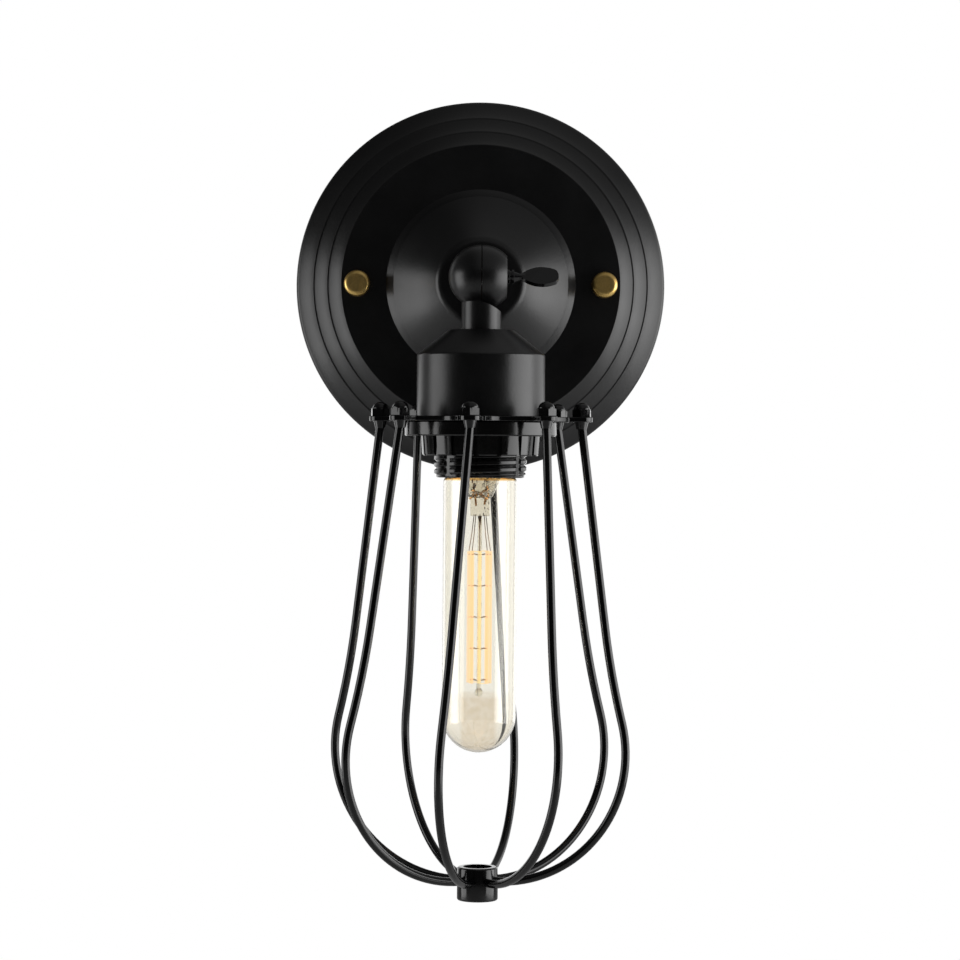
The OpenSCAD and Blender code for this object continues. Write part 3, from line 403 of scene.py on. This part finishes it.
holder_r, mouth_r, mouth_z, join_z, bore_r, wall_t = 19.0, 16.6, -82.5, -45.8, 14.25, 1.1
thread_low, thread_high, pitch, depth, crest_half, run_in = -81.6, -60.0, 2.9, 1.0, 0.62, 0.8
lip_in, lip_out, lip_h = 1.3, 0.85, 0.35
seat_z, cap_z = -51.8, -80.0
bore_end = cap_z + 1
gap_centres, gap_half, gap_slope = (-57, 47, 133, -123), 3.5, 1.5  # degrees round the thread
segments, steps_z = 240, 220
work = bmesh.new()
rows = [thread_low + (thread_high - thread_low) * j / steps_z for j in range(steps_z + 1)]
rings = []
for i in range(segments):
    a = 2 * math.pi * i / segments
    from_front = math.degrees(math.atan2(math.cos(a - math.pi), math.sin(a - math.pi)))
    gap = 1.0
    for centre in gap_centres:
        off = abs((from_front - centre + 180) % 360 - 180)
        gap = min(gap, max(0.0, min(1.0, (off - gap_half) / gap_slope)))
    ring = [(mouth_r, mouth_z), (holder_r - lip_in, mouth_z), (holder_r - lip_out, mouth_z + lip_h)]
    for z in rows:
        turn = (z - thread_low) / pitch - a / (2 * math.pi)
        from_crest = abs((turn + 0.5) % 1 - 0.5) * pitch
        crest = min(1.0, max(0.0, (pitch / 2 - from_crest) / (pitch / 2 - crest_half)))
        fade = min(1.0, (z - thread_low) / run_in)
        ring.append((holder_r - depth + depth * gap * fade * crest, z))
    ring += [(holder_r - depth, thread_high + 0.4), (holder_r - depth, join_z), (bore_r + wall_t, join_z),
             (bore_r + wall_t, seat_z), (bore_r, seat_z), (bore_r, bore_end), (mouth_r, bore_end)]
    rings.append([work.verts.new((r * math.cos(a) * MM, r * math.sin(a) * MM, z * MM)) for r, z in ring])
wrapped(work, rings)
bmesh.ops.recalc_face_normals(work, faces=work.faces)
smooth_between(work, 50)
work.transform(on_lamp)
threaded = as_piece("threaded_body", work)
threaded.data.materials.append(bakelite)
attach(threaded, "lamp_head")
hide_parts("lampholder_body")

ceramic, ceramic_shader = new_finish("glazed_ceramic", (0.8, 0.77, 0.7), 0.0, 0.2)
drifting(ceramic, ceramic_shader, (0.82, 0.79, 0.72), (0.72, 0.68, 0.6), 0.12, 0.3, 150, 1200, 0.00001)
finished_edges("contact_carrier", "contact_block", ceramic, 0.3)
dress(["contact_screws"], zinc)
dress(["centre_contact", "screw_shell"], brass)


# ---- Shade ring and cage ring -----------------------------------------------------------
# The bakelite ring screws up the lampholder's thread and clamps the cage: its flange bears
# on a flat steel ring with eight rounded lugs.

finished_edges("grooved_ring", "shade_ring", bakelite, 0.3)
finished_edges("lugged_ring", "cage_ring", gloss_black, 0.6)


# ---- Ribs, hub and acorn nuts -----------------------------------------------------------
# Eight bent steel wires, welded to a short tube at the foot. Each has a threaded end that
# goes up through a lug and is held by a small acorn nut.

for i in range(1, 9):
    finished_edges(f"wire_{i}", f"rib_{i}", gloss_black, 0, angle=32, dissolve=False)
finished_edges("hub_tube", "cage_hub", gloss_black, 0, angle=32, dissolve=False)

# Each nut stops where it comes tight, so their corners face different ways. Lengths in mm.
nut_low, nut_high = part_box("acorn_nuts")[0][2] / MM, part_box("acorn_nuts")[1][2] / MM
flats, hex_top, dome_r, trim_r = 7.2, nut_low + 3.2, 3.3, 3.75
lug_r, cage_turn, chamfer, corner_fall, edge_fall = 41.5, -6.2, 0.2, 0.55, 0.1
work = bmesh.new()
for i, set_at in enumerate((0, 11, -8, 20, 4, -14, 9, -5)):
    from_lamp = math.radians(-90 + cage_turn + 45 * i)
    nut = [lug_r * math.cos(from_lamp), lug_r * math.sin(from_lamp) - reach]
    rings = []
    for k in range(72):
        a = 5 * k
        side = flats / 2 / math.cos(math.radians(a % 60 - 30))
        ring = [(side - chamfer, nut_low), (side, nut_low + chamfer),
                (side, hex_top - (side - flats / 2) * corner_fall - edge_fall),
                (min(side, trim_r), hex_top), (dome_r, hex_top)]
        for up in range(10, 90, 10):
            ring.append((dome_r * math.cos(math.radians(up)),
                         hex_top + (nut_high - hex_top) * math.sin(math.radians(up))))
        turned_to = math.radians(-90 + set_at + a)
        rings.append([work.verts.new(((nut[0] + q * math.cos(turned_to)) * MM,
                                      (nut[1] + q * math.sin(turned_to)) * MM, z * MM)) for q, z in ring])
    for ring, after in zip(rings, rings[1:] + rings[:1]):
        for j in range(len(ring) - 1):
            work.faces.new((ring[j], after[j], after[j + 1], ring[j + 1]))
    work.faces.new([ring[-1] for ring in rings])
    work.faces.new([ring[0] for ring in rings][::-1])
bmesh.ops.recalc_face_normals(work, faces=work.faces)
smooth_between(work, 24)
domed_nuts = as_piece("domed_nuts", work)
domed_nuts.data.materials.append(gloss_black)
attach(domed_nuts, "lamp_head")
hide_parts("acorn_nuts")


# ---- Bulb -------------------------------------------------------------------------------
# Clear tubular bulb with a faint amber tint and a brass screw cap. Its filament is eight
# coiled strands, joined in turn at the top and the foot, that wire hooks hold round a glass
# rod. Copper leads show in the stem.

dress(["bulb_cap"], brass)
cap_glass, cap_glass_shader = new_finish("cap_glass", (0.03, 0.02, 0.04), 0.0, 0.1)
drifting(cap_glass, cap_glass_shader, (0.03, 0.02, 0.04), (0.05, 0.04, 0.06), 0.06, 0.15, 200, 900, 0.000005)
dress(["bulb_insulator"], cap_glass)
solder, solder_shader = new_finish("solder", (0.55, 0.55, 0.53), 1.0, 0.35)
drifting(solder, solder_shader, (0.6, 0.6, 0.58), (0.4, 0.4, 0.39), 0.25, 0.5, 500, 2000, 0.00002)
dress(["bulb_contact"], solder)

tube_glass, tube_shader = new_finish("tube_glass", (0.99, 0.98, 0.955), 0.0, 0.0, IOR=1.45)
tube_shader.inputs["Transmission Weight"].default_value = 1.0
tree = tube_glass.node_tree
edge_on = put(tree, "ShaderNodeLayerWeight", {"Blend": 0.5})
clear = put(tree, "ShaderNodeMix", {0: edge_on.outputs["Facing"], 6: (0.98, 0.963, 0.905, 1),
                                    7: (0.87, 0.84, 0.75, 1)}, data_type="RGBA")
rim = put(tree, "ShaderNodeMapRange",
          {"Value": edge_on.outputs["Facing"], "From Min": 0.68, "From Max": 0.86})
clear = put(tree, "ShaderNodeMix", {0: rim.outputs[0], 6: clear.outputs[2], 7: (0.7, 0.66, 0.58, 1)},
            data_type="RGBA")
# the getter leaves a thin grey-beige film inside the tip, thickest in the middle. Lengths in m.
film_full, film_none, film_half, film_side = -0.1725, -0.1705, 0.0062, 0.0082
where = put(tree, "ShaderNodeTexCoord")
split = put(tree, "ShaderNodeSeparateXYZ", {0: where.outputs["Object"]})
film_low = put(tree, "ShaderNodeMapRange",
               {"Value": split.outputs["Z"], "From Min": film_full, "From Max": film_none,
                "To Min": 1.0, "To Max": 0.0}, interpolation_type="SMOOTHSTEP")
across = put(tree, "ShaderNodeMath", {0: split.outputs["X"]}, operation="ABSOLUTE")
film_mid = put(tree, "ShaderNodeMapRange",
               {"Value": across.outputs[0], "From Min": film_half, "From Max": film_side,
                "To Min": 1.0, "To Max": 0.25}, interpolation_type="SMOOTHSTEP")
specks = put(tree, "ShaderNodeTexNoise", {"Vector": where.outputs["Object"], "Scale": 420.0, "Detail": 3.0})
patchy = put(tree, "ShaderNodeMapRange", {"Value": specks.outputs["Fac"], "From Min": 0.35, "From Max": 0.6,
                                          "To Min": 0.65, "To Max": 1.0})
film = put(tree, "ShaderNodeMath", {0: film_low.outputs[0], 1: film_mid.outputs[0]}, operation="MULTIPLY")
film = put(tree, "ShaderNodeMath", {0: film.outputs[0], 1: patchy.outputs[0]}, operation="MULTIPLY")
tinted = put(tree, "ShaderNodeMix", {0: film.outputs[0], 6: clear.outputs[2], 7: (0.885, 0.825, 0.72, 1)},
             data_type="RGBA")
# painted reflection: under the lampholder's mouth the glass is tinted gold, standing in for the brass cap lit
# by the filament. Lengths in m.
glint_none, glint_full = -0.0839, -0.0833
painted_glint = put(tree, "ShaderNodeMapRange",
           {"Value": split.outputs["Z"], "From Min": glint_none, "From Max": glint_full,
            "To Min": 0.0, "To Max": 0.85}, interpolation_type="SMOOTHSTEP")
glinted = put(tree, "ShaderNodeMix", {0: painted_glint.outputs[0], 6: tinted.outputs[2], 7: (0.9, 0.55, 0.16, 1)},
           data_type="RGBA")
tree.links.new(glinted.outputs[2], tube_shader.inputs["Base Color"])
# blown tube: a round tip, a straight side, a shoulder, and a neck up into the cap. Lengths in mm.
glass_r, glass_t, neck_r, shoulder_z, neck_end = 15.2, 0.9, 12.3, -83.6, -76.0
tip_c = -195.3 + glass_r


def blown(inset):
    """The tube's profile from the tip up, set in from its outer surface."""
    r, neck = glass_r - inset, neck_r - inset
    tip = [(r * math.sin(math.radians(a)), tip_c - r * math.cos(math.radians(a))) for a in range(0, 91, 3)]
    above = bent([tip[-1], (r, shoulder_z), (neck, cap_z), (neck, neck_end)], [1.5, 1.0])
    return tip + [tuple(v) for v in above[1:]]


glass = turned("blown_tube", blown(0) + blown(glass_t)[::-1], on_lamp, 192, 60)
glass.data.materials.append(tube_glass)
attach(glass, "bulb")
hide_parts("bulb_glass")

stem_glass, stem_shader = new_finish("stem_glass", (0.81, 0.77, 0.68), 0.0, 0.03, IOR=1.5)
stem_shader.inputs["Transmission Weight"].default_value = 1.0
tree = stem_glass.node_tree
where = put(tree, "ShaderNodeTexCoord")
pinched = put(tree, "ShaderNodeTexNoise", {"Vector": where.outputs["Object"], "Scale": 380.0, "Detail": 2.0})
dented = put(tree, "ShaderNodeBump", {"Height": pinched.outputs["Fac"], "Distance": 0.0006, "Strength": 1.0})
tree.links.new(dented.outputs["Normal"], stem_shader.inputs["Normal"])
finished_edges("pinched_stem", "bulb_stem", stem_glass, 0.8)

hook_wire, hook_shader = new_finish("hook_wire", (0.4, 0.27, 0.18), 1.0, 0.3)
drifting(hook_wire, hook_shader, (0.42, 0.28, 0.18), (0.25, 0.17, 0.12), 0.25, 0.4, 800, 4000, 0.000005)
copper, copper_shader = new_finish("copper_lead", (0.72, 0.4, 0.16), 1.0, 0.25)
drifting(copper, copper_shader, (0.78, 0.44, 0.18), (0.42, 0.21, 0.09), 0.18, 0.34, 700, 3000, 0.00001)
lit_wire, lit_shader = new_finish("lit_wire", (0.3, 0.12, 0.03), 0.0, 0.5)
lit_shader.inputs["Emission Strength"].default_value = 1.0
# the strands in the middle run hottest, and look yellow beside the peach of the outer ones
tree = lit_wire.node_tree
where = put(tree, "ShaderNodeTexCoord")
split = put(tree, "ShaderNodeSeparateXYZ", {0: where.outputs["Object"]})
outward = put(tree, "ShaderNodeMath", {0: split.outputs["X"]}, operation="ABSOLUTE")
heat = put(tree, "ShaderNodeMapRange", {"Value": outward.outputs[0], "From Min": 0.0008, "From Max": 0.0022})
glow = put(tree, "ShaderNodeMix", {0: heat.outputs[0], 6: (0.97, 0.8, 0.38, 1), 7: (0.93, 0.71, 0.4, 1)},
           data_type="RGBA")
tree.links.new(glow.outputs[2], lit_shader.inputs["Emission Color"])


def wire(work, points, r, sides=6):
    """A round wire through the points, on the lamp's axis. Lengths in mm."""
    points = [Vector(p) for p in points]
    last, aside = None, None
    for i, p in enumerate(points):
        along = (points[min(i + 1, len(points) - 1)] - points[max(i - 1, 0)]).normalized()
        if aside is None:
            aside = along.orthogonal()
        aside = aside - along * aside.dot(along)
        aside.normalize()
        other = along.cross(aside)
        ring = []
        for k in range(sides):
            a = 2 * math.pi * k / sides
            ring.append(work.verts.new((p + (aside * math.cos(a) + other * math.sin(a)) * r) * MM))
        if last:
            for k in range(sides):
                work.faces.new((last[k], last[(k + 1) % sides], ring[(k + 1) % sides], ring[k]))
        if i in (0, len(points) - 1):
            work.faces.new(ring[::-1] if i == 0 else ring)
        last = ring


def wirework(name, work, material, slot_name, *nodes):
    """The finished wires as one piece in the bulb."""
    for face in work.faces:
        face.smooth = len(face.verts) == 4
    work.transform(on_lamp)
    piece = as_piece(name, work)
    piece.data.materials.append(material)
    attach(piece, "bulb")
    if nodes:
        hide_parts(*nodes)


strands, strand_ring, coil_r, coil_pitch, per_turn = 8, 4.4, 0.72, 0.72, 10
coil_wire_r, link_r, hook_r, feed_r, lead_r = 0.17, 0.16, 0.14, 0.17, 0.42
press_end, lit_top, lit_low = -98.2, -112.7, -166.7
hook_levels, hook_inset = 5, 1.2
spots = [(strand_ring * math.cos(math.radians(45 * i)), strand_ring * math.sin(math.radians(45 * i)))
         for i in range(strands)]
work = bmesh.new()
for i, (x, y) in enumerate(spots):
    turns = round((lit_top - lit_low) / coil_pitch)
    coil = []
    for k in range(per_turn * turns + 1):
        a = 2 * math.pi * k / per_turn
        coil.append((x + coil_r * math.cos(a), y + coil_r * math.sin(a),
                     lit_low + (lit_top - lit_low) * k / (per_turn * turns)))
    wire(work, coil, coil_wire_r, 5)
    if i < strands - 1:
        z = lit_low if i % 2 == 0 else lit_top
        next_x, next_y = spots[i + 1]
        wire(work, [(x + coil_r, y, z), ((x + next_x) / 2 * 1.02, (y + next_y) / 2 * 1.02, z),
                    (next_x + coil_r, next_y, z)], link_r)
wirework("coiled_filament", work, lit_wire, "filament", "filament")

work = bmesh.new()
for i in range(hook_levels):
    z = lit_low + hook_inset + i * (lit_top - lit_low - 2 * hook_inset) / (hook_levels - 1)
    for x, y in spots:
        wire(work, [(x * 0.2, y * 0.2, z - 0.3), (x * 0.6, y * 0.6, z + 0.1), (x * 1.06, y * 1.06, z)],
             hook_r)
for x, y in spots[0::2] + spots[1::4]:
    wire(work, [(x * 0.55, y * 0.2, press_end + 0.6), (x * 0.75, y * 0.6, (press_end + lit_top) / 2),
                (x, y, lit_top + 0.2)], feed_r)
wirework("filament_hooks", work, hook_wire, "support_wire", "filament_supports")

work = bmesh.new()
for start, mid, end in (((-4.4, -1.6, -91.2), (-0.6, -1.9, -88.6), (3.6, -1.4, -86.6)),
                        ((-3.8, -1.2, -87.2), (0.4, -1.7, -88.9), (3.2, -1.5, -91.4)),
                        ((2.4, -1.2, -84.0), (2.8, -1.6, -87.5), (1.8, -0.8, -93.5)),
                        ((-2.6, -1.0, -84.0), (-2.2, -1.5, -88.5), (-1.6, -0.6, -94.0))):
    wire(work, [start, mid, end], lead_r, 8)
wirework("copper_leads", work, copper, "support_wire")


# ---- Studio -----------------------------------------------------------------------------
# Plain pale floor, two soft boxes at the sides, and a white studio that lights the part from
# behind and from the sides, and is dim overhead and dark behind the camera.

floor_r, floor_z = 2.4, -0.6
work = bmesh.new()
bmesh.ops.create_circle(work, cap_ends=True, segments=96, radius=floor_r)
work.transform(Matrix.Translation((0, 0, floor_z)))
floor = as_piece("floor", work)
pale, pale_shader = new_finish("pale_floor", (0.85, 0.85, 0.85), 0.0, 0.8)
tree = pale.node_tree
path = put(tree, "ShaderNodeLightPath")
seen = put(tree, "ShaderNodeMath", {0: path.outputs["Is Camera Ray"], 1: path.outputs["Is Transmission Ray"]},
           operation="MAXIMUM")
white = put(tree, "ShaderNodeEmission", {"Color": (1, 1, 1, 1), "Strength": 1.0})
spot = put(tree, "ShaderNodeTexCoord")
away = put(tree, "ShaderNodeVectorMath", {0: spot.outputs["Object"]}, operation="LENGTH")
fade = put(tree, "ShaderNodeMapRange", {"Value": away.outputs["Value"], "From Min": 0.6, "From Max": 1.9,
                                        "To Min": 0.5, "To Max": 1.0}, interpolation_type="SMOOTHSTEP")
share = put(tree, "ShaderNodeMath", {0: seen.outputs[0], 1: fade.outputs["Result"]}, operation="MULTIPLY")
both = put(tree, "ShaderNodeMixShader", {0: share.outputs[0], 1: pale_shader.outputs[0], 2: white.outputs[0]})
tree.links.new(both.outputs[0], tree.nodes["Material Output"].inputs["Surface"])
floor.data.materials.append(pale)

world = bpy.data.worlds.new("studio")
bpy.context.scene.world = world
world.use_nodes = True
tree = world.node_tree
tree.nodes.clear()
way = put(tree, "ShaderNodeTexCoord")
parts = put(tree, "ShaderNodeSeparateXYZ", {0: way.outputs["Generated"]})
# how far a direction turns from the front round to the back, sooner on the right
turn = put(tree, "ShaderNodeMath", {0: parts.outputs["X"], 1: 0.6, 2: parts.outputs["Y"]},
           operation="MULTIPLY_ADD")
horizon = put(tree, "ShaderNodeMapRange", {"Value": turn.outputs[0], "From Min": -0.1, "From Max": 0.5,
                                           "To Min": 0.035, "To Max": 1.25}, interpolation_type="SMOOTHSTEP")
# the bright studio is a band round the horizon, and dim overhead, most of all on the left
overhead = put(tree, "ShaderNodeMapRange", {"Value": parts.outputs["X"], "From Min": -0.45, "From Max": 0.1,
                                            "To Min": 0.08, "To Max": 0.26}, interpolation_type="SMOOTHSTEP")
height = put(tree, "ShaderNodeMath", {0: parts.outputs["Z"]}, operation="ABSOLUTE")
up = put(tree, "ShaderNodeMapRange", {"Value": height.outputs[0], "From Min": 0.2, "From Max": 0.55},
         interpolation_type="SMOOTHSTEP")
level = put(tree, "ShaderNodeMix", {0: up.outputs["Result"], 2: horizon.outputs["Result"],
                                    3: overhead.outputs["Result"]}, data_type="FLOAT")
# the camera sees plain white, and so does a ray through the glass that no surface has mirrored
path = put(tree, "ShaderNodeLightPath")
mirrored = put(tree, "ShaderNodeMath", {0: path.outputs["Glossy Depth"], 1: 0.5}, operation="LESS_THAN")
through = put(tree, "ShaderNodeMath", {0: path.outputs["Is Transmission Ray"], 1: mirrored.outputs[0]},
              operation="MULTIPLY")
shown = put(tree, "ShaderNodeMath", {0: path.outputs["Is Camera Ray"], 1: through.outputs[0]},
            operation="MAXIMUM")
strength = put(tree, "ShaderNodeMix", {0: shown.outputs[0], 2: level.outputs[0], 3: 1.0}, data_type="FLOAT")
sky = put(tree, "ShaderNodeBackground", {"Color": (1, 1, 1, 1), "Strength": strength.outputs[0]})
put(tree, "ShaderNodeOutputWorld", {"Surface": sky.outputs[0]})


def soft_box(name, place, aim, width, height, power):
    """A rectangular light, turned to face the point it is aimed at."""
    lamp = bpy.data.lights.new(name, "AREA")
    lamp.shape, lamp.size, lamp.size_y, lamp.energy = "RECTANGLE", width, height, power
    box = bpy.data.objects.new(name, lamp)
    box.location = place
    box.rotation_euler = (Vector(aim) - Vector(place)).to_track_quat("-Z", "Y").to_euler()
    bpy.context.scene.collection.objects.link(box)


soft_box("left_box", (-1.29, -0.19, -0.2), (0, -0.05, -0.08), 0.85, 0.98, 7.2)
soft_box("right_box", (1.27, -0.33, -0.22), (0, -0.05, -0.08), 1.3, 1.2, 14.4)

camera_data = bpy.data.cameras.new("camera")
camera_data.lens = 108.08
camera_data.sensor_width = 36
camera_data.clip_start = 0.05
camera = bpy.data.objects.new("camera", camera_data)
camera.location = (-0.00796, -1.25605, -0.07254)
camera.rotation_euler = (math.pi / 2 - 0.00923, -0.00707, -0.00658)
bpy.context.scene.collection.objects.link(camera)
bpy.context.scene.camera = camera
bpy.context.scene.view_settings.view_transform = "Standard"
